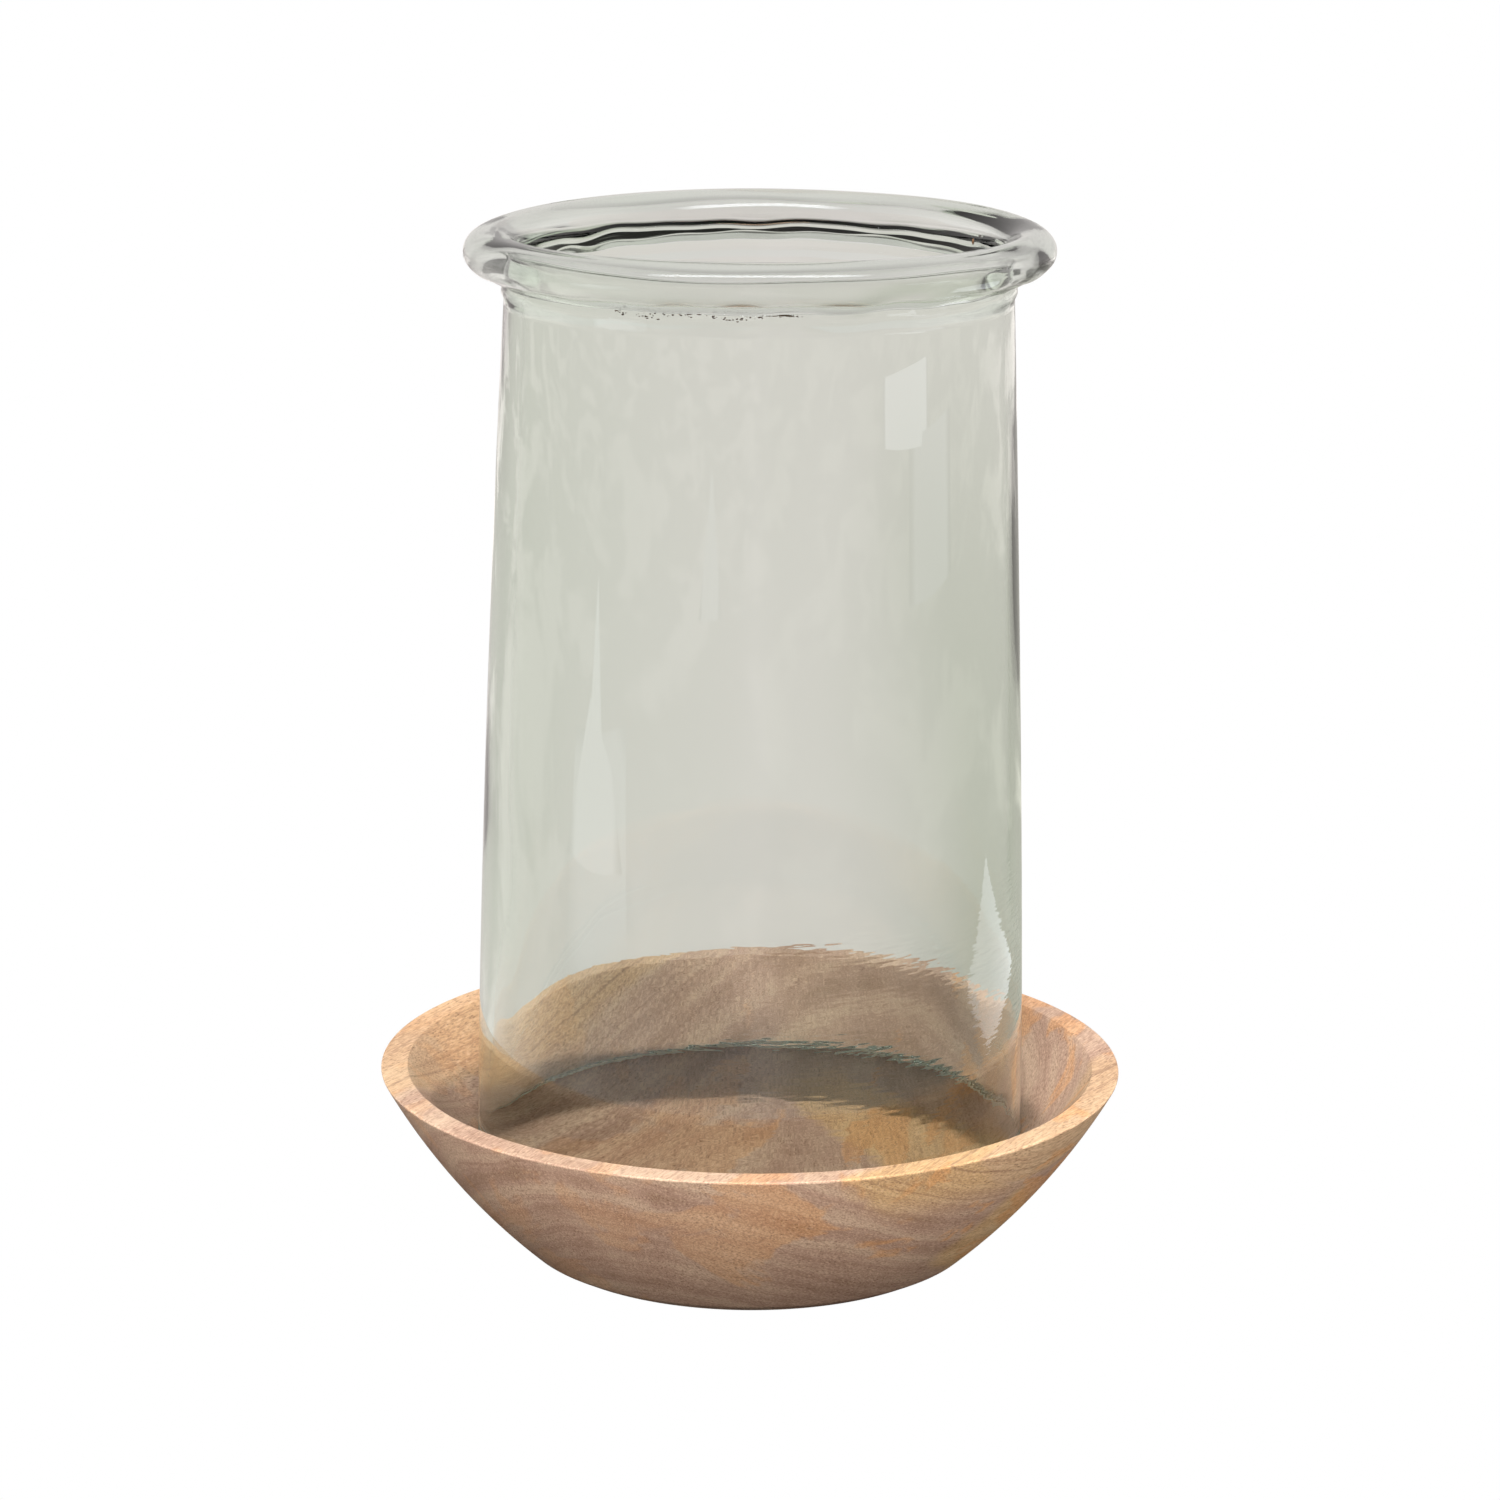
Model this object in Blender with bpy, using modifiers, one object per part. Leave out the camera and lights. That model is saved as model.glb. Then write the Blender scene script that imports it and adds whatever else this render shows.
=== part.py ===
"""A glass cloche standing in a turned mango-wood bowl.

The cloche is one blown glass tube, open at both ends: a ground foot at the bottom,
a wall that tapers towards the neck, and a thick rolled rim at the top. It stands loose
in the bowl, with the outer edge of its foot resting all round on the sloping dish.
+Z is up and the origin is the middle of the bowl's foot, on the table. Metres.
"""

import math

import bpy

# The bowl, turned from one block of mango wood
BOWL_DIAMETER = 0.300  # over the rim's corner, before its edge is eased
BOWL_HEIGHT = 0.075
RIM_WIDTH = 0.0115
FOOT_DIAMETER = 0.179
SIDE_ARC_RADIUS = 0.272
FLOOR_THICKNESS = 0.0095  # of wood, under the middle of the dish
RIM_EDGE_RADIUS = 0.0006
FOOT_EDGE_RADIUS = 0.0025

# The cloche, blown in recycled glass
GLASS_FOOT_DIAMETER = 0.2212
GLASS_NECK_DIAMETER = 0.198
GLASS_HEIGHT = 0.368
GLASS_WALL = 0.0055
TAPER_POWER = 1.4
ROLL_RADIUS = 0.0096
ROLL_LAP = 0.0030  # how far the roll sinks into the neck that it is folded onto
FLARE_HEIGHT = 0.0125
GROUND_EDGE_BEVEL = 0.0006

# How the two fit: the gap between the glass foot and the dish that it rests on
SEAT_CLEARANCE = 0.0003

TURNED_STEPS = 64
DISH_STEPS = 15
SIDE_STEPS = 7
WALL_STEPS = 9
ROLL_STEPS = 13
FLARE_STEPS = 5
CORNER_STEPS = 3

WOOD_COLOUR = (0.45, 0.27, 0.15, 1.0)
GLASS_COLOUR = (0.80, 0.86, 0.82, 1.0)


def clear_scene():
    """Removes whatever the file opened with."""
    for obj in list(bpy.data.objects):
        bpy.data.objects.remove(obj)


def arc_points(centre, radii, start, end, steps):
    """Points along an elliptic arc from the start angle to the end angle, in degrees."""
    points = []
    for i in range(steps + 1):
        angle = math.radians(start + (end - start) * i / steps)
        points.append(
            (centre[0] + radii[0] * math.cos(angle), centre[1] + radii[1] * math.sin(angle))
        )
    return points


def rounded_corner(before, corner, after, radius):
    """The corner between two straight stretches, replaced by a tangent arc."""
    to_before = math.atan2(before[1] - corner[1], before[0] - corner[0])
    to_after = math.atan2(after[1] - corner[1], after[0] - corner[0])
    opening = (to_after - to_before + math.pi) % (2 * math.pi) - math.pi
    half = abs(opening) / 2
    reach = radius / math.sin(half)
    middle = to_before + opening / 2
    centre = (corner[0] + reach * math.cos(middle), corner[1] + reach * math.sin(middle))
    turn = math.degrees(math.pi - abs(opening)) / 2
    side = 1 if opening > 0 else -1
    back = math.degrees(middle) + 180
    return arc_points(centre, (radius, radius), back + side * turn, back - side * turn, CORNER_STEPS)


def dish_sphere_radius():
    """The dish is a cap of a sphere, as wide as the rim's inner edge and as deep as the floor allows."""
    mouth = BOWL_DIAMETER / 2 - RIM_WIDTH
    depth = BOWL_HEIGHT - FLOOR_THICKNESS
    return (mouth**2 + depth**2) / (2 * depth)


def dish_height(radius):
    """The height of the dish's surface at that distance from the axis."""
    sphere = dish_sphere_radius()
    return FLOOR_THICKNESS + sphere - math.sqrt(sphere**2 - radius**2)


def side_arc():
    """The bowl's outer side, from the rim down to the foot: a shallow arc that bulges outwards."""
    top = (BOWL_DIAMETER / 2, BOWL_HEIGHT)
    foot = (FOOT_DIAMETER / 2, 0.0)
    across, down = top[0] - foot[0], top[1] - foot[1]
    chord = math.hypot(across, down)
    inset = math.sqrt(SIDE_ARC_RADIUS**2 - (chord / 2) ** 2)
    centre = (
        (top[0] + foot[0]) / 2 - inset * down / chord,
        (top[1] + foot[1]) / 2 + inset * across / chord,
    )
    start, end = (math.degrees(math.atan2(p[1] - centre[1], p[0] - centre[0])) for p in (top, foot))
    return arc_points(centre, (SIDE_ARC_RADIUS, SIDE_ARC_RADIUS), start, end, SIDE_STEPS)


def bowl_profile():
    """From the middle of the dish out to the rim, over it, down the side and in under the foot."""
    sphere = dish_sphere_radius()
    mouth = BOWL_DIAMETER / 2 - RIM_WIDTH
    mouth_angle = -90 + math.degrees(math.asin(mouth / sphere))
    dish = arc_points((0, dish_height(0) + sphere), (sphere, sphere), -90, mouth_angle, DISH_STEPS)
    side = side_arc()
    profile = dish[:-1]
    profile += rounded_corner(dish[-2], dish[-1], side[0], RIM_EDGE_RADIUS)
    profile += rounded_corner(dish[-1], side[0], side[1], RIM_EDGE_RADIUS)
    profile += side[1:-1]
    profile += rounded_corner(side[-2], side[-1], (0, 0), FOOT_EDGE_RADIUS)
    profile.append((0.0, 0.0))
    profile[0] = (0.0, dish_height(0))
    return profile


def wall_radius(height):
    """The cloche's outer radius, which narrows slowly at first and faster towards the neck."""
    share = height / (GLASS_HEIGHT - 2 * ROLL_RADIUS)
    taper = (GLASS_FOOT_DIAMETER - GLASS_NECK_DIAMETER) / 2
    return GLASS_FOOT_DIAMETER / 2 - taper * share**TAPER_POWER


def cloche_profile():
    """Over the rolled rim, down the outside, across the ground foot and up the inside."""
    neck_height = GLASS_HEIGHT - 2 * ROLL_RADIUS
    neck = GLASS_NECK_DIAMETER / 2
    roll_centre = (neck + ROLL_RADIUS - ROLL_LAP, GLASS_HEIGHT - ROLL_RADIUS)
    meeting = -180 + math.degrees(math.acos((roll_centre[0] - neck) / ROLL_RADIUS))
    roll = arc_points(roll_centre, (ROLL_RADIUS, ROLL_RADIUS), 90, meeting, ROLL_STEPS)
    heights = [neck_height * (1 - i / WALL_STEPS) for i in range(WALL_STEPS + 1)]
    outside = [(wall_radius(h), h) for h in heights]
    inside = [(wall_radius(h) - GLASS_WALL, h) for h in reversed(heights)]
    outer_foot, inner_foot = outside[-1], inside[0]
    bevel = GROUND_EDGE_BEVEL
    profile = roll + outside[:-1]
    profile += [(outer_foot[0], bevel), (outer_foot[0] - bevel, 0.0)]
    profile += [(inner_foot[0] + bevel, 0.0), (inner_foot[0], bevel)]
    profile += inside[1:]
    flare_centre = (roll_centre[0], GLASS_HEIGHT - FLARE_HEIGHT)
    flare_radii = (roll_centre[0] - inside[-1][0], FLARE_HEIGHT)
    profile += arc_points(flare_centre, flare_radii, 180, 90, FLARE_STEPS)[:-1]
    return profile


def seat_height():
    """Where the cloche's foot stands: the outer edge of the ground foot just clears the dish."""
    edge = GLASS_FOOT_DIAMETER / 2
    on_side = dish_height(edge) - GROUND_EDGE_BEVEL
    on_face = dish_height(edge - GROUND_EDGE_BEVEL)
    return max(on_side, on_face) + SEAT_CLEARANCE


def finish(name, colour, roughness, transmission):
    """A Principled BSDF with that colour and surface."""
    material = bpy.data.materials.new(name)
    material.use_nodes = True
    shader = material.node_tree.nodes["Principled BSDF"]
    shader.inputs["Base Color"].default_value = colour
    shader.inputs["Roughness"].default_value = roughness
    shader.inputs["Metallic"].default_value = 0.0
    shader.inputs["Transmission Weight"].default_value = transmission
    material.diffuse_color = colour
    return material


def turned(name, profile, is_ring, material, collection):
    """Turns a profile in the XZ plane a full circle about Z. A ring's profile is a closed loop."""
    edges = [(i, i + 1) for i in range(len(profile) - 1)]
    if is_ring:
        edges.append((len(profile) - 1, 0))
    mesh = bpy.data.meshes.new(name)
    mesh.from_pydata([(x, 0.0, z) for x, z in profile], edges, [])
    mesh.materials.append(material)
    obj = bpy.data.objects.new(name, mesh)
    collection.objects.link(obj)
    screw = obj.modifiers.new("turning", "SCREW")
    screw.axis = "Z"
    screw.angle = 2 * math.pi
    screw.steps = TURNED_STEPS
    screw.render_steps = TURNED_STEPS
    screw.use_smooth_shade = True
    screw.use_merge_vertices = True
    screw.merge_threshold = 0.00002
    return obj


def main():
    clear_scene()
    collection = bpy.data.collections.new("glass_cloche")
    bpy.context.scene.collection.children.link(collection)
    wood = finish("oiled_mango_wood", WOOD_COLOUR, 0.5, 0.0)
    glass = finish("recycled_glass", GLASS_COLOUR, 0.02, 1.0)
    turned("wooden_bowl", bowl_profile(), False, wood, collection)
    cloche = turned("cloche_glass", cloche_profile(), True, glass, collection)
    cloche.location = (0.0, 0.0, seat_height())


main()
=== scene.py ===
"""The looks of the glass cloche: blown recycled glass, standing in a turned mango-wood bowl.

It is laid out as a Blender add-on and is run as a script. Metres, +Z up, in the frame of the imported
model: the origin is the middle of the bowl's foot, on the table.
"""

import math

import bpy
import numpy as np
from mathutils import Matrix, Vector


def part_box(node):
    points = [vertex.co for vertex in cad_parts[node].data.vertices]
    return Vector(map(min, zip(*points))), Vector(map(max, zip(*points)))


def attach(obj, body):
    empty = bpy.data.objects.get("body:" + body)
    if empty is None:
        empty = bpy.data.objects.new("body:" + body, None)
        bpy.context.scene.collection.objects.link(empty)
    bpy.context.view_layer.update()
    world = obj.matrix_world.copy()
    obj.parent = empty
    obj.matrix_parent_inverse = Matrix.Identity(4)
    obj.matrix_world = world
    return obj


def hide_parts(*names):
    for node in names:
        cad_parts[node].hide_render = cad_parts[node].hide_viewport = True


bl_info = {
    "name": "Glass Cloche",
    "version": (1, 0, 0),
    "blender": (4, 5, 0),
    "location": "View3D > Sidebar > Cloche",
    "description": "Blows the glass, turns the bowl and sets the studio around them",
    "category": "Add Mesh",
}

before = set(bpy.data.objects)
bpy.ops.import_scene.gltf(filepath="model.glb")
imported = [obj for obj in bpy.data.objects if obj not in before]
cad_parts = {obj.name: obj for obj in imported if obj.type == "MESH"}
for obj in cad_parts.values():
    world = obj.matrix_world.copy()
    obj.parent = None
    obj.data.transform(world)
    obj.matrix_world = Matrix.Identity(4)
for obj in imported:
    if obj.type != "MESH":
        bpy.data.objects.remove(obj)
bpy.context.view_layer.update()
GLASS_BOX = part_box("cloche_glass")
BOWL_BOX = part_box("wooden_bowl")

TAU = 2 * math.pi
ROUND_STEPS = 312  # of the glass, round its axis
BOWL_STEPS = 320  # of the bowl, round its axis
DISH_STEPS = 70

# Which surface of the glass a point of its profile lies on
OUTSIDE, INSIDE, FLARE, ROLLED, GROUND = 0, 1, 1.5, 2, 3
LEAN = 0.0012  # how far the top of the glass leans towards +X


# ---------------------------------------------------------------- colours and nodes


def linear(colour):
    """An sRGB hex colour as linear RGBA."""
    parts = [int(colour[i : i + 2], 16) / 255 for i in (1, 3, 5)]
    return [c / 12.92 if c <= 0.04045 else ((c + 0.055) / 1.055) ** 2.4 for c in parts] + [1.0]


def add_node(tree, kind, sockets=None, **settings):
    """Adds a node, sets its properties, and sets or links its input sockets."""
    node = tree.nodes.new(kind)
    for name, value in settings.items():
        setattr(node, name, value)
    for key, value in (sockets or {}).items():
        if isinstance(value, bpy.types.NodeSocket):
            tree.links.new(value, node.inputs[key])
        else:
            node.inputs[key].default_value = value
    return node


def maths(tree, operation, first, second=0.0):
    """One step of arithmetic on values or sockets."""
    return add_node(tree, "ShaderNodeMath", {0: first, 1: second}, operation=operation).outputs[0]


def ramp(tree, value, stops):
    """Colours along a value. Each stop is (place, sRGB hex)."""
    node = add_node(tree, "ShaderNodeValToRGB", {0: value})
    elements = node.color_ramp.elements
    while len(elements) < len(stops):
        elements.new(0.5)
    for element, (place, colour) in zip(elements, stops):
        element.position = place
        element.color = linear(colour)
    return node.outputs[0]


def mixed(tree, share, first, second):
    """Two colours mixed, the second by that share."""
    sockets = {0: share, 6: first, 7: second}
    return add_node(tree, "ShaderNodeMix", sockets, data_type="RGBA").outputs[2]


def between(tree, value, low, high, start=0.0, end=1.0):
    """The value's place between low and high, eased, as a number from start to end."""
    sockets = {0: value, 1: low, 2: high, 3: start, 4: end}
    return add_node(tree, "ShaderNodeMapRange", sockets, interpolation_type="SMOOTHSTEP").outputs[0]


def noise(tree, vector, scale, detail=2.0, roughness=0.5, distortion=0.0):
    """Soft noise from 0 to 1 on a vector."""
    sockets = {
        "Vector": vector,
        "Scale": scale,
        "Detail": detail,
        "Roughness": roughness,
        "Distortion": distortion,
    }
    return add_node(tree, "ShaderNodeTexNoise", sockets).outputs[0]


def stretched(tree, vector, scale):
    """The vector with each part scaled."""
    return add_node(tree, "ShaderNodeVectorMath", {0: vector, 1: scale}, operation="MULTIPLY").outputs[0]


def new_material(name):
    """An empty material with its output node."""
    material = bpy.data.materials.new(name)
    material.use_nodes = True
    material.node_tree.nodes.clear()
    return material, material.node_tree, add_node(material.node_tree, "ShaderNodeOutputMaterial")


# ---------------------------------------------------------------- materials


def mango_wood(grain):
    """Mango wood, turned, sanded and oiled: pinkish-brown heart with broad soft growth bands, golden
    sapwood past a clear edge, and short dark pores that show as dots where the grain ends. The oil
    leaves it half matt, and fills the pores only partly, so they stay as fine dents."""
    material, tree, output = new_material("oiled_mango_wood")
    place = add_node(tree, "ShaderNodeTexCoord").outputs["Object"]
    turned = add_node(
        tree,
        "ShaderNodeMapping",
        {"Vector": place, "Rotation": (0, 0, -grain.direction)},
        vector_type="POINT",
    ).outputs[0]
    # Along the grain, slow wander that bends the fibres and bands, 60 mm long and a few mm deep
    wander = add_node(
        tree,
        "ShaderNodeTexNoise",
        {"Vector": stretched(tree, turned, (0.3, 1, 1)), "Scale": 16.0, "Detail": 2.0},
    ).outputs[1]
    both_ways = {0: wander, 1: (0.5, 0.5, 0.5)}
    bend = add_node(tree, "ShaderNodeVectorMath", both_ways, operation="SUBTRACT").outputs[0]
    bend = stretched(tree, bend, (0, 0.022, 0.022))
    bent = add_node(tree, "ShaderNodeVectorMath", {0: turned, 1: bend}, operation="ADD").outputs[0]
    parts = add_node(tree, "ShaderNodeSeparateXYZ", {0: bent})
    across = maths(tree, "SUBTRACT", parts.outputs[1], grain.pith_offset)
    above = maths(tree, "ADD", parts.outputs[2], grain.pith_depth)
    across_squared = maths(tree, "MULTIPLY", across, across)
    above_squared = maths(tree, "MULTIPLY", above, above)
    ring = maths(tree, "SQRT", maths(tree, "ADD", across_squared, above_squared))
    # Growth bands: noise along the ring radius, one band about every 9 mm, with finer ones inside
    bands = add_node(
        tree,
        "ShaderNodeTexNoise",
        {"W": ring, "Scale": 1 / grain.band_width, "Detail": 2.0, "Roughness": 0.5},
        noise_dimensions="1D",
    ).outputs[0]
    fine_bands = add_node(
        tree,
        "ShaderNodeTexNoise",
        {"W": ring, "Scale": 6 / grain.band_width, "Detail": 2.0, "Roughness": 0.6},
        noise_dimensions="1D",
    ).outputs[0]
    clouds = noise(tree, stretched(tree, bent, (0.35, 1, 1)), 30.0, 4.0, 0.6)
    tone = maths(tree, "ADD", maths(tree, "MULTIPLY", bands, 0.38), maths(tree, "MULTIPLY", clouds, 0.62))
    heart = ramp(
        tree,
        tone,
        [(0.32, "#9B7C66"), (0.43, "#B08F7B"), (0.50, "#BA9A84"), (0.57, "#C1A38B"), (0.70, "#CFB197")],
    )
    sap = ramp(tree, tone, [(0.32, "#B79166"), (0.48, "#CFA97A"), (0.60, "#D9B586"), (0.75, "#E0BF94")])
    # Heart turns to sapwood at one ring, over a few millimetres, and a streak of it runs through
    ragged = maths(tree, "SUBTRACT", clouds, 0.5)
    edge = maths(tree, "ADD", ring, maths(tree, "MULTIPLY", ragged, 0.030))
    share = between(tree, edge, grain.heart_radius - 0.003, grain.heart_radius + 0.003, 0.0, 0.55)
    level = add_node(tree, "ShaderNodeSeparateXYZ", {0: place})
    x, y, z = (level.outputs[i] for i in range(3))
    # The streak lies where x + y (0.343 + 4.03 y) is streak_place, so it bows
    bow = maths(tree, "MULTIPLY", y, maths(tree, "ADD", 0.343, maths(tree, "MULTIPLY", y, 4.03)))
    streak = maths(tree, "ADD", maths(tree, "ADD", x, bow), maths(tree, "MULTIPLY", ragged, 0.022))
    streak = maths(tree, "ABSOLUTE", maths(tree, "SUBTRACT", streak, grain.streak_place))
    in_streak = between(tree, streak, 0.013, 0.021, 0.95, 0.0)
    # It ends towards the back, and at the front it shows only near the rim
    before_back = between(tree, y, 0.085, 0.100, 1.0, 0.0)
    past_front = between(tree, y, -0.09, -0.08)
    near_rim = between(tree, z, 0.045, 0.066)
    runs = maths(tree, "MULTIPLY", before_back, maths(tree, "MAXIMUM", past_front, near_rim))
    share = maths(tree, "MAXIMUM", share, maths(tree, "MULTIPLY", runs, in_streak))
    colour = mixed(tree, share, heart, sap)
    # Soft darker lines where growth stopped, and a few sharp ones
    lines = between(tree, fine_bands, 0.34, 0.46, 0.20, 0.0)
    colour = mixed(tree, lines, colour, linear("#7E5C47"))
    stopped = maths(tree, "ABSOLUTE", maths(tree, "SUBTRACT", bands, 0.455))
    colour = mixed(tree, between(tree, stopped, 0.001, 0.007, 0.34, 0.0), colour, linear("#6B4A38"))
    # Orange patches, where the sanded grain rises to the surface
    patch = noise(tree, stretched(tree, bent, (0.5, 1, 1)), 24.0, 4.0, 0.6, 0.6)
    right = between(tree, x, -0.06, 0.07, 0.22, 0.55)
    patches = maths(tree, "MULTIPLY", between(tree, patch, 0.52, 0.57, 0.0, 1.0), right)
    colour = mixed(tree, patches, colour, linear("#D8995C"))
    # Fibres: streaks 0.4 mm wide and a few millimetres long, as coarse as they need to be to show
    fibre = noise(tree, stretched(tree, bent, (0.14, 1, 1)), 1300.0, 3.0, 0.75)
    colour = mixed(tree, between(tree, fibre, 0.36, 0.54, 0.48, 0.0), colour, linear("#86634E"))
    colour = mixed(tree, between(tree, fibre, 0.52, 0.66, 0.0, 0.42), colour, linear("#E4C4A4"))
    # Pores: 0.25 mm wide, drawn at 0.4 mm so that they show
    pore = add_node(
        tree,
        "ShaderNodeTexVoronoi",
        {"Vector": stretched(tree, bent, (0.30, 1, 1)), "Scale": 800.0, "Randomness": 1.0},
    ).outputs["Distance"]
    gather = between(tree, noise(tree, bent, 60.0, 2.0), 0.35, 0.65, 0.45, 1.0)
    pores = maths(tree, "MULTIPLY", between(tree, pore, 0.12, 0.36, 1.0, 0.0), gather)
    colour = mixed(tree, maths(tree, "MULTIPLY", pores, 0.55), colour, linear("#664733"))
    height = maths(tree, "SUBTRACT", maths(tree, "MULTIPLY", fibre, 0.35), pores)
    bump = add_node(
        tree, "ShaderNodeBump", {"Strength": 0.35, "Distance": 0.00025, "Height": height}
    ).outputs[0]
    oiled = between(tree, tone, 0.3, 0.7, 0.50, 0.42)
    rough = maths(tree, "ADD", maths(tree, "MULTIPLY", pores, 0.15), oiled)
    shader = add_node(
        tree,
        "ShaderNodeBsdfPrincipled",
        {"Base Color": colour, "Roughness": rough, "Normal": bump, "IOR": 1.5, "Specular IOR Level": 0.25},
    )
    tree.links.new(shader.outputs[0], output.inputs["Surface"])
    return material


def recycled_glass(name, roughness, tint, ripple, clear=1.0):
    """Soda-lime glass from mixed scrap, blown and fire-polished: clear, with the pale grey-green that
    iron gives it, deeper where more glass lies in the line of sight. The tint is absorption per metre.
    Its skin is smooth, with soft ripples that show only in what it bends."""
    material, tree, output = new_material(name)
    sockets = {
        "Base Color": linear("#FFFFFF" if clear == 1 else "#DCE9E1"),
        "Roughness": roughness,
        "IOR": 1.5,
        "Transmission Weight": clear,
    }
    if ripple:
        place = add_node(tree, "ShaderNodeTexCoord").outputs["Object"]
        parts = add_node(tree, "ShaderNodeSeparateXYZ", {0: place})
        slow = noise(tree, stretched(tree, place, (1, 1, 0.22)), 26.0, 1.0, 0.4)
        # The mould's chill left combed ripples, 3 mm from crest to crest, low on one side
        combed = noise(tree, stretched(tree, place, (0.22, 0.22, 1)), 520.0, 1.0, 0.4)
        low = between(tree, parts.outputs[2], 0.12, 0.20, 1.0, 0.0)
        front = between(tree, parts.outputs[1], -0.02, 0.02, 1.0, 0.0)
        side = between(tree, parts.outputs[0], -0.06, 0.06, 0.12, 1.0)
        reach = maths(tree, "MULTIPLY", maths(tree, "MULTIPLY", low, front), side)
        ripples = maths(tree, "MULTIPLY", maths(tree, "MULTIPLY", combed, reach), 0.13)
        height = maths(tree, "ADD", slow, ripples)
        sockets["Normal"] = add_node(
            tree, "ShaderNodeBump", {"Strength": 1.0, "Distance": ripple, "Height": height}
        ).outputs[0]
    shader = add_node(tree, "ShaderNodeBsdfPrincipled", sockets)
    # A little denser than the strongest tint, so that no channel of the colour is quite black
    density = max(tint) * 1.02
    passed = [1 - t / density for t in tint] + [1.0]
    volume = add_node(tree, "ShaderNodeVolumeAbsorption", {"Color": passed, "Density": density})
    tree.links.new(shader.outputs[0], output.inputs["Surface"])
    tree.links.new(volume.outputs[0], output.inputs["Volume"])
    return material


# ---------------------------------------------------------------- surfaces


def ring_grid(x, y, z, closed_profile):
    """Vertices and faces from three arrays of shape (profile points, angles), closed round the angles.
    The profile is closed too, or its first and last rows meet on the axis as one point each. A
    profile that runs down its outer side faces outwards."""
    rows, columns = x.shape
    points = np.stack([x, y, z], axis=-1)
    if closed_profile:
        vertices = points.reshape(-1, 3)
        index = np.arange(rows * columns).reshape(rows, columns)
        lower = np.roll(index, -1, axis=0)
        caps = []
    else:
        vertices = np.concatenate([points[0, :1], points[1:-1].reshape(-1, 3), points[-1, :1]])
        index = 1 + np.arange((rows - 2) * columns).reshape(rows - 2, columns)
        lower = index[1:]
        index, last_row = index[:-1], index[-1]
        first_row = index[0]
        top = np.zeros(columns, int)
        bottom = np.full(columns, len(vertices) - 1)
        caps = [
            np.stack([top, first_row, np.roll(first_row, -1)], axis=-1),
            np.stack([bottom, np.roll(last_row, -1), last_row], axis=-1),
        ]
    quads = np.stack([index, lower, np.roll(lower, -1, axis=1), np.roll(index, -1, axis=1)], axis=-1)
    faces = quads.reshape(-1, 4).tolist() + [face for cap in caps for face in cap.tolist()]
    return vertices.tolist(), faces


def smooth_mesh(name, *grids):
    """One smooth mesh from several grids of vertices and faces."""
    vertices, faces = [], []
    for points, corners in grids:
        start = len(vertices)
        vertices += points
        faces += [[start + i for i in face] for face in corners]
    mesh = bpy.data.meshes.new(name)
    mesh.from_pydata(vertices, [], faces)
    mesh.update()
    mesh.shade_smooth()
    return mesh


def arc(centre, radii, start, end, steps):
    """Points (radius, height) on an ellipse's arc between two angles in degrees, both ends included."""
    angle = np.radians(np.linspace(start, end, steps + 1))
    return np.stack([centre[0] + radii[0] * np.cos(angle), centre[1] + radii[1] * np.sin(angle)], axis=-1)


def curve(first, corner, last, steps):
    """Points on the quadratic curve from first to last that both ends point to the corner."""
    share = np.linspace(0, 1, steps + 1)[:, None]
    first, corner, last = (np.array(p) for p in (first, corner, last))
    return (1 - share) ** 2 * first + 2 * share * (1 - share) * corner + share**2 * last


def line(first, last, steps):
    """Points on the straight line between two points, both ends included."""
    share = np.linspace(0, 1, steps + 1)[:, None]
    return (1 - share) * np.array(first) + share * np.array(last)


def waves(angle, seed, slowest, fastest, size):
    """A smooth closed curve of the angle: a sum of sines that go round from slowest to fastest times,
    with random phases and strengths, scaled to that root mean square size."""
    random = np.random.default_rng(seed)
    turns = np.arange(slowest, fastest + 1)
    strength = random.uniform(0.4, 1.0, len(turns))
    phase = random.uniform(0, TAU, len(turns))
    total = (strength[:, None] * np.sin(np.multiply.outer(turns, angle.ravel()) + phase[:, None])).sum(0)
    return (total * size / math.sqrt((strength**2).sum() / 2)).reshape(angle.shape)


def eased(value, low, high):
    """0 below low, 1 above high, and a smooth step between."""
    share = np.clip((value - low) / (high - low), 0, 1)
    return share * share * (3 - 2 * share)


# ---------------------------------------------------------------- settings


class BowlSettings(bpy.types.PropertyGroup):
    """The turned bowl."""

    diameter: bpy.props.FloatProperty(
        name="Diameter",
        description="Over the rim's corner, before its edge is eased",
        default=0.300,
        unit="LENGTH",
    )
    rim_width: bpy.props.FloatProperty(
        name="Rim width", description="Width of the flat rim", default=0.0115, unit="LENGTH"
    )
    dish_depth: bpy.props.FloatProperty(
        name="Dish depth", description="Depth of the dish below the rim", default=0.0655, unit="LENGTH"
    )
    foot_diameter: bpy.props.FloatProperty(
        name="Foot diameter", description="Diameter of the flat foot", default=0.179, unit="LENGTH"
    )
    side_radius: bpy.props.FloatProperty(
        name="Side radius", description="Radius of the side's outward bulge", default=0.272, unit="LENGTH"
    )
    edge_radius: bpy.props.FloatProperty(
        name="Edge radius",
        description="How far the rim's edges are sanded round",
        default=0.0007,
        unit="LENGTH",
    )


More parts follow.
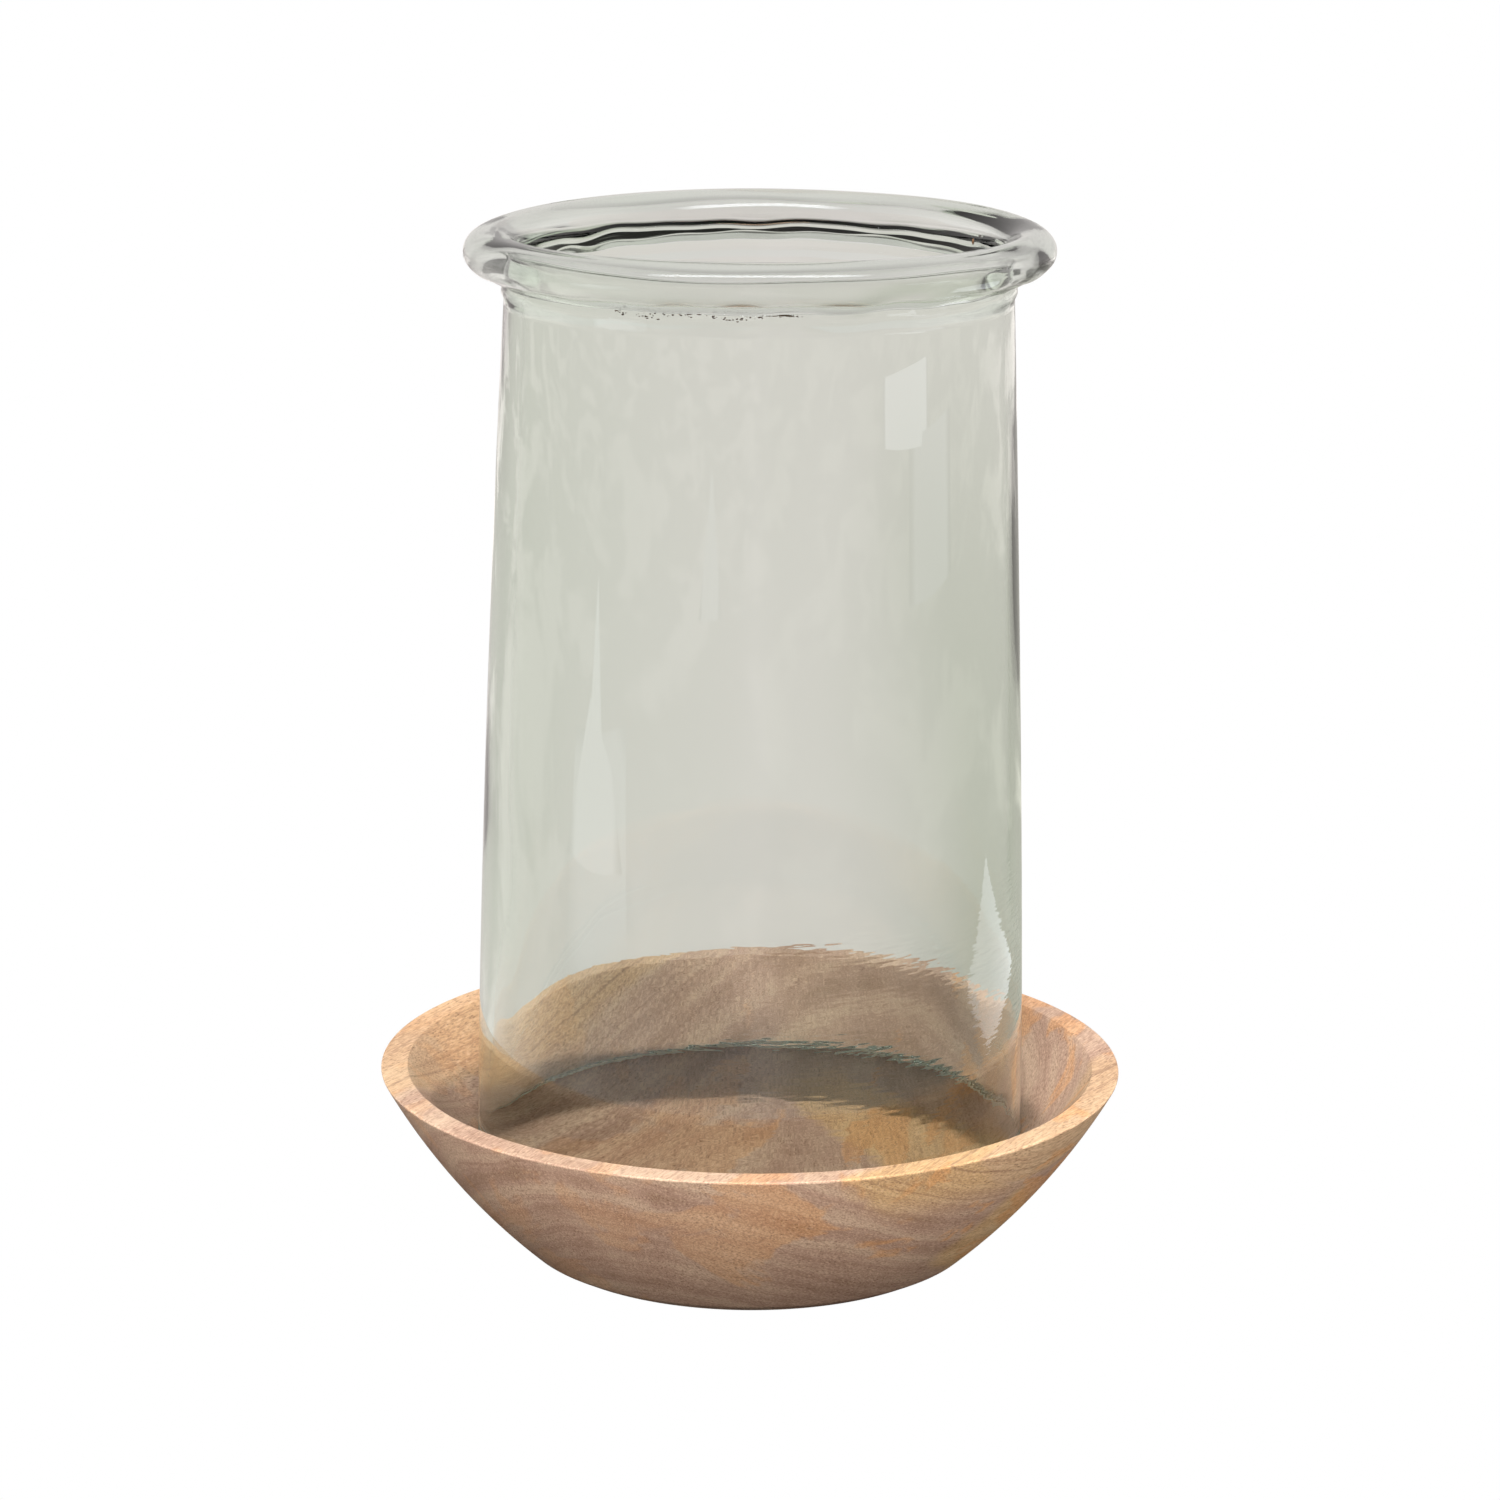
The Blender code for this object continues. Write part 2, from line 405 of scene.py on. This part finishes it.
class GrainSettings(bpy.types.PropertyGroup):
    """How the bowl's blank was sawn from the log."""

    direction: bpy.props.FloatProperty(
        name="Grain direction",
        description="Direction of the fibres, from +X",
        default=math.radians(62),
        subtype="ANGLE",
    )
    pith_offset: bpy.props.FloatProperty(
        name="Pith offset", description="The log's middle, across the fibres", default=-0.012, unit="LENGTH"
    )
    pith_depth: bpy.props.FloatProperty(
        name="Pith depth", description="The log's middle, below the table", default=0.060, unit="LENGTH"
    )
    heart_radius: bpy.props.FloatProperty(
        name="Heart radius", description="Where heartwood turns to sapwood", default=0.176, unit="LENGTH"
    )
    streak_place: bpy.props.FloatProperty(
        name="Streak place",
        description="Where a streak of sapwood runs, from the middle",
        default=0.0885,
        unit="LENGTH",
    )
    band_width: bpy.props.FloatProperty(
        name="Band width", description="Width of one growth band", default=0.009, unit="LENGTH"
    )


class GlassSettings(bpy.types.PropertyGroup):
    """The blown glass."""

    foot_diameter: bpy.props.FloatProperty(
        name="Foot diameter", description="Outer diameter of the ground foot", default=0.2212, unit="LENGTH"
    )
    lap_height: bpy.props.FloatProperty(
        name="Lap height",
        description="How far the folded rim laps down the wall",
        default=0.007,
        unit="LENGTH",
    )
    neck_diameter: bpy.props.FloatProperty(
        name="Neck diameter", description="Outer diameter under the rolled rim", default=0.198, unit="LENGTH"
    )
    wall: bpy.props.FloatProperty(
        name="Wall",
        description="Thickness of the wall on its thin side",
        default=0.0044,
        unit="LENGTH",
    )
    roll_width: bpy.props.FloatProperty(
        name="Roll width", description="Width of the rolled rim, in and out", default=0.0192, unit="LENGTH"
    )
    roll_height: bpy.props.FloatProperty(
        name="Roll height", description="Height of the rolled rim", default=0.0164, unit="LENGTH"
    )
    roll_wall: bpy.props.FloatProperty(
        name="Roll wall",
        description="Glass between the rolled rim's skin and the air shut in it",
        default=0.0034,
        unit="LENGTH",
    )
    taper_power: bpy.props.FloatProperty(
        name="Taper power", description="How late the wall narrows towards the neck", default=1.4
    )
    absorption: bpy.props.FloatVectorProperty(
        name="Absorption",
        description="How much red, green and blue light a metre of the glass takes up",
        default=(11.0, 6.6, 11.4),
    )
    fleck_count: bpy.props.IntProperty(
        name="Flecks",
        description="How many brown flecks of scale are shut in the fold under the rim",
        default=150,
        min=1,
    )


class StudioSettings(bpy.types.PropertyGroup):
    """The studio's lights."""

    top_power: bpy.props.FloatProperty(
        name="Top power", description="Power of the small light overhead", default=150.0, unit="POWER"
    )
    front_power: bpy.props.FloatProperty(
        name="Front power",
        description="Power of the light from the camera's side",
        default=92.0,
        unit="POWER",
    )
    side_power: bpy.props.FloatProperty(
        name="Side power", description="Power of the lights on both sides", default=22.0, unit="POWER"
    )


# ---------------------------------------------------------------- pieces


def bowl_profile(bowl):
    """(radius, height) from the middle of the dish, over the rim, down the side and in under the foot.
    The dish is a cap of a sphere, and the side a shallow arc through the rim's and the foot's edges."""
    height = BOWL_BOX[1].z
    rim = bowl.diameter / 2
    mouth = rim - bowl.rim_width
    sphere = (mouth**2 + bowl.dish_depth**2) / (2 * bowl.dish_depth)
    floor = height - bowl.dish_depth
    mouth_angle = math.degrees(math.asin(mouth / sphere)) - 90
    dish = arc((0, floor + sphere), (sphere, sphere), -90, mouth_angle - 0.4, DISH_STEPS)
    foot = bowl.foot_diameter / 2
    chord = math.hypot(rim - foot, height)
    inset = math.sqrt(bowl.side_radius**2 - chord**2 / 4)
    middle = (
        (rim + foot) / 2 - inset * height / chord,
        height / 2 + inset * (rim - foot) / chord,
    )
    start = math.degrees(math.atan2(height - middle[1], rim - middle[0]))
    end = math.degrees(math.atan2(-middle[1], foot - middle[0]))
    side = arc(middle, (bowl.side_radius, bowl.side_radius), start - 0.3, end + 0.9, 44)
    ease = bowl.edge_radius
    inner_edge = arc((mouth + ease, height - ease), (ease, ease), 150, 90, 6)
    outer_edge = arc((rim - 1.7 * ease, height - ease), (ease, ease), 90, -25, 8)
    flat = line(inner_edge[-1], outer_edge[0], 8)
    under = arc((foot - 0.003, 0.0024), (0.003, 0.0024), -30, -90, 8)
    base = line((foot - 0.004, 0.0), (0, 0), 24)
    profile = np.concatenate([dish, inner_edge, flat[1:-1], outer_edge, side, under, base])
    profile[0, 0] = 0.0
    return profile


def turn_bowl(bowl, grain):
    """Turns the bowl: the profile carried round Z, x = r cos a and y = r sin a, where the lathe's hand
    work leaves the side up to a fifth of a millimetre uneven."""
    profile = bowl_profile(bowl)
    angle = np.linspace(0, TAU, BOWL_STEPS, endpoint=False)[None, :]
    radius, height = profile[:, :1], profile[:, 1:]
    # Only the outside is uneven: the dish stays true, because the glass stands a hair above it
    past_rim = eased(np.arange(len(profile))[:, None], DISH_STEPS + 8, DISH_STEPS + 20)
    outside = past_rim * eased(radius, 0.03, 0.09)
    uneven = outside * (0.00012 * np.sin(2 * angle + 0.7) + 0.00008 * np.sin(3 * angle + 2.0))
    r = radius + uneven
    x, y, z = r * np.cos(angle), r * np.sin(angle), height + 0 * angle
    mesh = smooth_mesh("turned_bowl", ring_grid(x, y, z, closed_profile=False))
    mesh.materials.append(mango_wood(grain))
    piece = bpy.data.objects.new("turned_bowl", mesh)
    bpy.context.scene.collection.objects.link(piece)
    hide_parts("wooden_bowl")
    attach(piece, "bowl")
    return piece


def glass_profile(glass):
    """The glass's closed profile as (radius, height above the foot, surface)."""
    total = GLASS_BOX[1].z - GLASS_BOX[0].z
    foot_radius = glass.foot_diameter / 2
    neck = glass.neck_diameter / 2
    tall = total - glass.roll_height
    half_width, half_height = glass.roll_width / 2, glass.roll_height / 2

    def wall(h):
        return foot_radius - (foot_radius - neck) * np.clip(h / tall, 0, 1) ** glass.taper_power

    roll_middle = (GLASS_BOX[1].x - half_width, total - half_height)
    roll = arc(roll_middle, (half_width, half_height), 90, -76, 60)
    # The roll's folded end runs out on the wall: a fillet, then a lap that thins down the wall
    crease_height = total - glass.roll_height - 0.0026
    fillet_corner = (neck + 0.0016, roll[-1, 1] - 0.0036)
    fillet_end = (neck + 0.0013, crease_height - 0.0008)
    fillet = curve(roll[-1], fillet_corner, fillet_end, 20)[1:]
    down = crease_height - 0.0014 - (crease_height - 0.0022) * np.linspace(0, 1, 96) ** 1.15
    outside = np.stack([wall(down), down], axis=-1)
    lap_end = crease_height - glass.lap_height
    lap_thickness = 0.0012
    outside[:, 0] += lap_thickness * eased(down, lap_end - 0.001, lap_end + 0.002)
    ease = 0.0008
    foot_outer = arc((foot_radius - ease, ease), (ease, ease), 0, -90, 4)
    inner_foot = foot_radius - glass.wall
    foot_inner = arc((inner_foot + ease, ease), (ease, ease), -90, -180, 4)
    ground = line(foot_outer[-1], foot_inner[0], 4)[1:-1]
    up = 0.0016 + (tall + 0.002 - 0.0016) * np.linspace(0, 1, 66)
    inside = np.stack([wall(up) - glass.wall, up], axis=-1)
    flare_height = total - inside[-1, 1]
    flare_middle = (roll_middle[0], total - flare_height)
    flare_radii = (roll_middle[0] - inside[-1, 0], flare_height)
    flare = arc(flare_middle, flare_radii, 180, 90, 24)[1:-1]
    parts = [
        (roll, ROLLED),
        (fillet, ROLLED),
        (outside, OUTSIDE),
        (foot_outer, GROUND),
        (ground, GROUND),
        (foot_inner, GROUND),
        (inside, INSIDE),
        (flare, FLARE),
    ]
    return np.concatenate([np.column_stack([p, np.full(len(p), s)]) for p, s in parts])


def rim_rise(angle):
    """How far the hand-shaped rim rises and falls round the circle."""
    return 0.0013 * np.sin(angle) + 0.0008 * np.cos(angle) - 0.0007 * np.cos(2 * angle) - 0.0009


def blow_glass(glass):
    """Blows the glass: the closed profile carried round Z, where the wall's thickness, the roll's size
    and the crease under it wander round the circle as sums of sines."""
    profile = glass_profile(glass)
    angle = np.linspace(0, TAU, ROUND_STEPS, endpoint=False)[None, :]
    radius, height, surface = (profile[:, i : i + 1] for i in range(3))
    total = GLASS_BOX[1].z - GLASS_BOX[0].z
    inside = ((surface == INSIDE) | (surface == FLARE)) * 1.0
    rolled = (surface == ROLLED) * 1.0
    share = height / total
    # The wall is thicker on the left and low at the front, and both skins wander slowly
    thick_side = (0.5 - 0.5 * np.cos(angle)) ** 1.6
    thicker = 0.0042 * thick_side * eased(share, -0.15, 0.35) * (1 - 0.35 * eased(share, 0.6, 1.0))
    front = eased(-np.sin(angle), -0.2, 0.5)
    thicker = thicker + 0.0020 * front * (1 - eased(share, 0.18, 0.40))
    skin = waves(angle, 3, 2, 5, 0.00022) * np.sin(math.pi * np.clip(share, 0, 1)) ** 0.5
    slow = waves(angle, 4, 2, 6, 0.00016) * np.sin(TAU * share + 0.6)
    slow = slow + waves(angle, 5, 3, 8, 0.00018) * np.cos(9 * share)
    r = radius + skin * (1 - rolled) - inside * (thicker + slow * eased(share, 0.0, 0.08))
    # The roll: hand-folded, so its height, width and crease change round the rim
    half_width, half_height = glass.roll_width / 2, glass.roll_height / 2
    middle = (GLASS_BOX[1].x - half_width, total - half_height)
    swell = 1 + waves(angle, 11, 2, 7, 0.025) * rolled
    crease = rolled * (1 - eased(height, middle[1] - half_height, middle[1] - 0.1 * half_height))
    crease_wave = waves(angle, 12, 12, 24, 0.00030)
    z = np.where(rolled > 0, middle[1] + (height - middle[1]) * (0.5 + 0.5 * swell), height)
    r = np.where(rolled > 0, middle[0] + (r - middle[0]) * swell, r)
    under = (surface == OUTSIDE) * eased(height, total - 0.036, total - 0.020)
    z = z + crease * crease_wave + under * crease_wave * 0.8
    r = r + crease * crease_wave * 0.35
    lift = GLASS_BOX[0].z
    x, y = r * np.cos(angle) + LEAN * share**3, r * np.sin(angle)
    rise = rim_rise(angle) * eased(share, 0.80, 0.94)
    skins = ring_grid(x, y, z + lift + rise, closed_profile=True)
    mesh = smooth_mesh("blown_glass", skins, shut_in_air(glass))
    skin_tint = tuple(glass.absorption)
    mesh.materials.append(recycled_glass("recycled_glass", 0.0, skin_tint, 0.0004))
    mesh.materials.append(recycled_glass("ground_glass_foot", 0.42, skin_tint, 0.0, 0.35))
    is_ground = np.zeros(len(mesh.polygons), np.int32)
    is_ground[: surface.size * ROUND_STEPS] = np.repeat(surface[:, 0] == GROUND, ROUND_STEPS)
    mesh.polygons.foreach_set("material_index", is_ground)
    piece = bpy.data.objects.new("blown_glass", mesh)
    bpy.context.scene.collection.objects.link(piece)
    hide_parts("cloche_glass")
    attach(piece, "glass")
    return piece


def shut_in_air(glass):
    """The air shut in the roll when the rim was folded: a hollow ring, r = R + a cos t and
    z = h + b sin t, whose size wanders round the circle. Its skin faces the air."""
    angle = np.linspace(0, TAU, ROUND_STEPS, endpoint=False)[None, :]
    turn = np.linspace(0, TAU, 36, endpoint=False)[:, None]
    half_width, half_height = glass.roll_width / 2, glass.roll_height / 2
    inner = np.where(np.cos(turn) < 0, 1.28, 1.0)
    wide = inner * (half_width - glass.roll_wall) * (1 + waves(angle, 21, 3, 11, 0.03))
    lower = np.where(np.sin(turn) < 0, 1.36, 1.15)
    tall = lower * (half_height - glass.roll_wall) * (1 + waves(angle, 22, 3, 11, 0.03))
    r = GLASS_BOX[1].x - half_width + wide * np.cos(turn)
    z = GLASS_BOX[1].z - half_height - 0.0009 + tall * np.sin(turn) + rim_rise(angle)
    z = z + waves(angle, 23, 14, 24, 0.00035) * np.clip(-np.sin(turn), 0, 1)
    return ring_grid(r * np.cos(angle) + LEAN, r * np.sin(angle), z, closed_profile=True)


def speck(centre, radii):
    """A small ellipsoid, c + (a sin u cos v, b sin u sin v, d cos u)."""
    u = np.linspace(0, math.pi, 7)[:, None]
    v = np.linspace(0, TAU, 8, endpoint=False)[None, :]
    ball = (np.sin(u) * np.cos(v), np.sin(u) * np.sin(v), np.cos(u) + 0 * v)
    x, y, z = (middle + size * unit for middle, size, unit in zip(centre, radii, ball))
    return ring_grid(x, y, z, closed_profile=False)


def scatter_flecks(glass):
    """Flecks of brown scale that the tools left in the fold: small ellipsoids along a wavy line
    between the lap and the wall, thickest at the front, and one larger seed behind the roll."""
    random = np.random.default_rng(31)
    material, tree, output = new_material("iron_scale")
    shader = add_node(tree, "ShaderNodeBsdfPrincipled", {"Base Color": linear("#6F5138"), "Roughness": 0.6})
    tree.links.new(shader.outputs[0], output.inputs["Surface"])
    grids = []
    fold = GLASS_BOX[1].z - glass.roll_height - 0.0046
    radius = glass.neck_diameter / 2 + 0.0006
    for _ in range(glass.fleck_count):
        along = random.uniform(-0.053, 0.014) if random.random() < 0.7 else random.normal(0.010, 0.0022)
        angle = math.asin(along * 2 / glass.neck_diameter) - math.pi / 2
        wave = 0.0008 * math.sin(along * 190) + random.normal(0, 0.00022 if random.random() < 0.7 else 0.0007)
        wave = min(max(wave, -0.0016), 0.0009)
        size = random.uniform(0.00008, 0.00026)
        level = fold + wave + float(rim_rise(angle))
        centre = (radius * math.cos(angle) + LEAN, radius * math.sin(angle), level)
        grids.append(speck(centre, (size * random.uniform(1, 3), size, size)))
    seed_angle = math.radians(26)
    seed_radius = GLASS_BOX[1].x - glass.roll_width + 0.0001
    seed_level = GLASS_BOX[1].z - 0.0120
    seed = (seed_radius * math.cos(seed_angle), seed_radius * math.sin(seed_angle), seed_level)
    grids.append(speck(seed, (0.0008, 0.0008, 0.0013)))
    mesh = smooth_mesh("scale_flecks", *grids)
    mesh.materials.append(material)
    piece = bpy.data.objects.new("scale_flecks", mesh)
    bpy.context.scene.collection.objects.link(piece)
    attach(piece, "glass")
    return piece


# ---------------------------------------------------------------- stage


def studio_camera():
    """A long lens, a little above the object, that looks along +Y and 14 degrees down."""
    camera = bpy.data.cameras.new("camera")
    camera.sensor_width = 36.0
    camera.lens = 104.5
    camera.clip_start = 0.05
    camera.clip_end = 60.0
    piece = bpy.data.objects.new("camera", camera)
    bpy.context.scene.collection.objects.link(piece)
    place = Matrix.Translation((-0.001, -1.690, 0.625))
    tilt = Matrix.Rotation(math.radians(90 - 13.97), 4, "X")
    roll = Matrix.Rotation(math.radians(0.5), 4, "Z")
    piece.matrix_world = place @ tilt @ roll
    bpy.context.scene.camera = piece


def soft_box(name, place, aim, width, height, strength):
    """A rectangular soft white light that faces a point."""
    light = bpy.data.lights.new(name, "AREA")
    light.shape = "RECTANGLE"
    light.size = width
    light.size_y = height
    light.energy = strength
    piece = bpy.data.objects.new(name, light)
    bpy.context.scene.collection.objects.link(piece)
    piece.visible_glossy = False
    piece.location = place
    direction = Vector(aim) - Vector(place)
    piece.rotation_euler = direction.to_track_quat("-Z", "Y").to_euler()
    return piece


def light_card(name, corners, strength, softness):
    """A flat glowing card that only mirror images show, and that fades towards its edges."""
    mesh = bpy.data.meshes.new(name)
    mesh.from_pydata(corners, [], [tuple(range(len(corners)))])
    material, tree, output = new_material(name)
    place = add_node(tree, "ShaderNodeTexCoord").outputs["Generated"]
    parts = add_node(tree, "ShaderNodeSeparateXYZ", {0: place})
    fade = strength
    for side in (0, 1):
        from_far_edge = maths(tree, "SUBTRACT", 1.0, parts.outputs[side])
        inward = maths(tree, "MINIMUM", parts.outputs[side], from_far_edge)
        fade = maths(tree, "MULTIPLY", fade, between(tree, inward, 0.0, softness, 0.3, 1.0))
    glow = add_node(tree, "ShaderNodeEmission", {"Color": linear("#F6FBFF"), "Strength": fade})
    tree.links.new(glow.outputs[0], output.inputs[0])
    mesh.materials.append(material)
    card = bpy.data.objects.new(name, mesh)
    bpy.context.scene.collection.objects.link(card)
    card.visible_camera = card.visible_diffuse = card.visible_transmission = card.visible_shadow = False


def studio_world():
    """Soft light from everywhere: bright behind and overhead, darker from the camera's side."""
    world = bpy.data.worlds.new("studio")
    bpy.context.scene.world = world
    world.use_nodes = True
    tree = world.node_tree
    tree.nodes.clear()
    direction = add_node(tree, "ShaderNodeTexCoord").outputs["Generated"]
    parts = add_node(tree, "ShaderNodeSeparateXYZ", {0: direction})
    behind = between(tree, parts.outputs[1], -0.5, 0.3, 0.18, 0.74)
    above = between(tree, parts.outputs[2], 0.25, 0.9, 0.0, -0.22)
    sides = between(tree, maths(tree, "ABSOLUTE", parts.outputs[0]), 0.4, 0.9, 0.0, 0.42)
    strength = maths(tree, "ADD", maths(tree, "ADD", behind, above), sides)
    background = add_node(tree, "ShaderNodeBackground", {0: linear("#FFFBF8"), 1: strength})
    output = add_node(tree, "ShaderNodeOutputWorld")
    tree.links.new(background.outputs[0], output.inputs[0])


def studio_floor():
    """A wide floor of paper: plain white to the camera, dark to the light that it bounces, and to the
    glass the grey that the glass passes and mirrors."""
    mesh = bpy.data.meshes.new("floor")
    reach = 14.0
    corners = [(-reach, -reach, 0), (reach, -reach, 0), (reach, reach, 0), (-reach, reach, 0)]
    mesh.from_pydata(corners, [], [(0, 1, 2, 3)])
    material, tree, output = new_material("studio_paper")
    rays = add_node(tree, "ShaderNodeLightPath").outputs
    place = add_node(tree, "ShaderNodeTexCoord").outputs["Object"]
    parts = add_node(tree, "ShaderNodeSeparateXYZ", {0: place})
    # What the glass passes: warm grey, with painted shade that makes it greener and darker on the right and
    # near
    near = between(tree, parts.outputs[1], 0.3, 2.6, 1.0, 0.12)
    right = between(tree, parts.outputs[0], 0.02, 0.19, 0.0, 1.0)
    shade = maths(tree, "MULTIPLY", near, right)
    passed = mixed(tree, shade, (0.745, 0.70, 0.675, 1), (0.53, 0.53, 0.46, 1))
    # What it mirrors: the same paper, with soft pools of light
    pools = between(tree, noise(tree, place, 1.3, 4.0, 0.6, 0.5), 0.47, 0.60, -0.1, 0.8)
    unbent = maths(tree, "SUBTRACT", 1.0, rays["Is Transmission Ray"])
    mirror = maths(tree, "MULTIPLY", rays["Is Glossy Ray"], unbent)
    mirrored = maths(tree, "MULTIPLY", mirror, pools)
    # Next to the bowl it lies in the bowl's shadow
    away = add_node(tree, "ShaderNodeVectorMath", {0: place}, operation="LENGTH").outputs["Value"]
    unshaded = between(tree, away, 0.10, 0.42, 0.05, 1.0)
    lit = maths(tree, "MULTIPLY", maths(tree, "ADD", 1.0, mirrored), unshaded)
    backdrop = add_node(tree, "ShaderNodeEmission", {"Color": passed, "Strength": lit})
    paper = add_node(tree, "ShaderNodeBsdfDiffuse", {"Color": linear("#3E3A36")})
    white = add_node(tree, "ShaderNodeEmission", {"Color": linear("#FFFFFF"), "Strength": 1.0})
    bounced = add_node(
        tree,
        "ShaderNodeMixShader",
        {0: rays["Is Diffuse Ray"], 1: backdrop.outputs[0], 2: paper.outputs[0]},
    )
    shown = add_node(
        tree,
        "ShaderNodeMixShader",
        {0: rays["Is Camera Ray"], 1: bounced.outputs[0], 2: white.outputs[0]},
    )
    tree.links.new(shown.outputs[0], output.inputs[0])
    mesh.materials.append(material)
    floor = bpy.data.objects.new("floor", mesh)
    bpy.context.scene.collection.objects.link(floor)


def set_stage(studio):
    """The camera, the paper, the lights and the cards."""
    bpy.context.scene.view_settings.view_transform = "Standard"
    studio_camera()
    studio_world()
    studio_floor()
    soft_box("top_light", (0.08, 0.19, 5.0), (0, 0, 0.05), 0.05, 0.05, studio.top_power)
    front_light = soft_box("front_light", (-0.3, -2.2, 1.3), (0, 0, 0.05), 1.4, 0.8, studio.front_power)
    front_light.visible_transmission = False
    for name, side in (("left_light", -1), ("right_light", 1)):
        power = studio.side_power * (1 + 0.35 * side)
        light = soft_box(name, (1.9 * side, -0.75, 0.7), (0, 0, 0.06), 0.6, 1.0, power)
        light.visible_transmission = False
    # What the glass mirrors: windows low on both sides, and the light that they throw on the table
    light_card(
        "right_window",
        [(0.705, -0.52, 0.26), (0.86, -0.22, 0.25), (0.86, -0.22, 0.302), (0.705, -0.52, 0.302)],
        strength=2.6,
        softness=0.06,
    )
    light_card(
        "right_panel",
        [(0.80, -0.36, 0.16), (0.93, -0.02, 0.16), (0.93, -0.02, 0.26), (0.80, -0.36, 0.26)],
        strength=1.25,
        softness=0.15,
    )
    light_card(
        "right_patch",
        [(0.74, 0.27, 0.002), (0.53, 0.03, 0.002), (0.38, 0.10, 0.002), (0.36, 0.33, 0.002)],
        strength=2.0,
        softness=0.02,
    )
    light_card(
        "left_window",
        [(-0.88, -0.16, 0.0), (-0.70, -0.56, 0.0), (-0.75, -0.48, 0.07), (-0.82, -0.33, 0.11)],
        strength=2.3,
        softness=0.2,
    )
    light_card(
        "left_spire",
        [(-0.82, -0.33, 0.08), (-0.78, -0.42, 0.08), (-0.80, -0.36, 0.19)],
        strength=2.4,
        softness=0.03,
    )
    light_card(
        "left_patch",
        [(-1.32, -0.30, 0.002), (-1.15, -0.91, 0.002), (-0.46, -0.42, 0.002), (-0.55, -0.11, 0.002)],
        strength=1.5,
        softness=0.2,
    )
    light_card(
        "sky_light",
        [(-0.8, -0.5, 1.5), (0.8, -0.5, 1.5), (0.8, -0.8, 1.45), (-0.8, -0.8, 1.45)],
        strength=9.0,
        softness=0.2,
    )
    light_card(
        "far_left_window",
        [(-0.80, -2.0, 0.0), (-0.50, -2.1, 0.0), (-0.66, -2.05, 0.15)],
        strength=1.4,
        softness=0.2,
    )


# ---------------------------------------------------------------- operators, panel and registration


class CLOCHE_OT_turn_bowl(bpy.types.Operator):
    """Turn the wooden bowl"""

    bl_idname = "cloche.turn_bowl"
    bl_label = "Turn Bowl"

    def execute(self, context):
        turn_bowl(context.scene.cloche_bowl, context.scene.cloche_grain)
        return {"FINISHED"}


class CLOCHE_OT_blow_glass(bpy.types.Operator):
    """Blow the glass, with its rolled rim and ground foot"""

    bl_idname = "cloche.blow_glass"
    bl_label = "Blow Glass"

    def execute(self, context):
        blow_glass(context.scene.cloche_glass)
        return {"FINISHED"}


class CLOCHE_OT_scatter_flecks(bpy.types.Operator):
    """Scatter flecks of scale in the fold under the rim"""

    bl_idname = "cloche.scatter_flecks"
    bl_label = "Scatter Flecks"

    def execute(self, context):
        scatter_flecks(context.scene.cloche_glass)
        return {"FINISHED"}


class CLOCHE_OT_set_stage(bpy.types.Operator):
    """Set the camera, paper and lights"""

    bl_idname = "cloche.set_stage"
    bl_label = "Set Stage"

    def execute(self, context):
        set_stage(context.scene.cloche_studio)
        return {"FINISHED"}


SETTINGS = {
    "cloche_bowl": BowlSettings,
    "cloche_grain": GrainSettings,
    "cloche_glass": GlassSettings,
    "cloche_studio": StudioSettings,
}
OPERATORS = (CLOCHE_OT_turn_bowl, CLOCHE_OT_blow_glass, CLOCHE_OT_scatter_flecks, CLOCHE_OT_set_stage)


class CLOCHE_PT_sidebar(bpy.types.Panel):
    """The cloche's settings and steps"""

    bl_label = "Glass Cloche"
    bl_space_type = "VIEW_3D"
    bl_region_type = "UI"
    bl_category = "Cloche"

    def draw(self, context):
        for name, group in SETTINGS.items():
            box = self.layout.box()
            for setting in group.__annotations__:
                box.prop(getattr(context.scene, name), setting)
        for operator in OPERATORS:
            self.layout.operator(operator.bl_idname)


def register():
    for group in (*SETTINGS.values(), *OPERATORS, CLOCHE_PT_sidebar):
        bpy.utils.register_class(group)
    for name, group in SETTINGS.items():
        setattr(bpy.types.Scene, name, bpy.props.PointerProperty(type=group))


def unregister():
    for name in SETTINGS:
        delattr(bpy.types.Scene, name)
    for group in reversed((*SETTINGS.values(), *OPERATORS, CLOCHE_PT_sidebar)):
        bpy.utils.unregister_class(group)


def main():
    register()
    bpy.ops.cloche.turn_bowl()
    bpy.ops.cloche.blow_glass()
    bpy.ops.cloche.scatter_flecks()
    bpy.ops.cloche.set_stage()


if __name__ == "__main__":
    main()
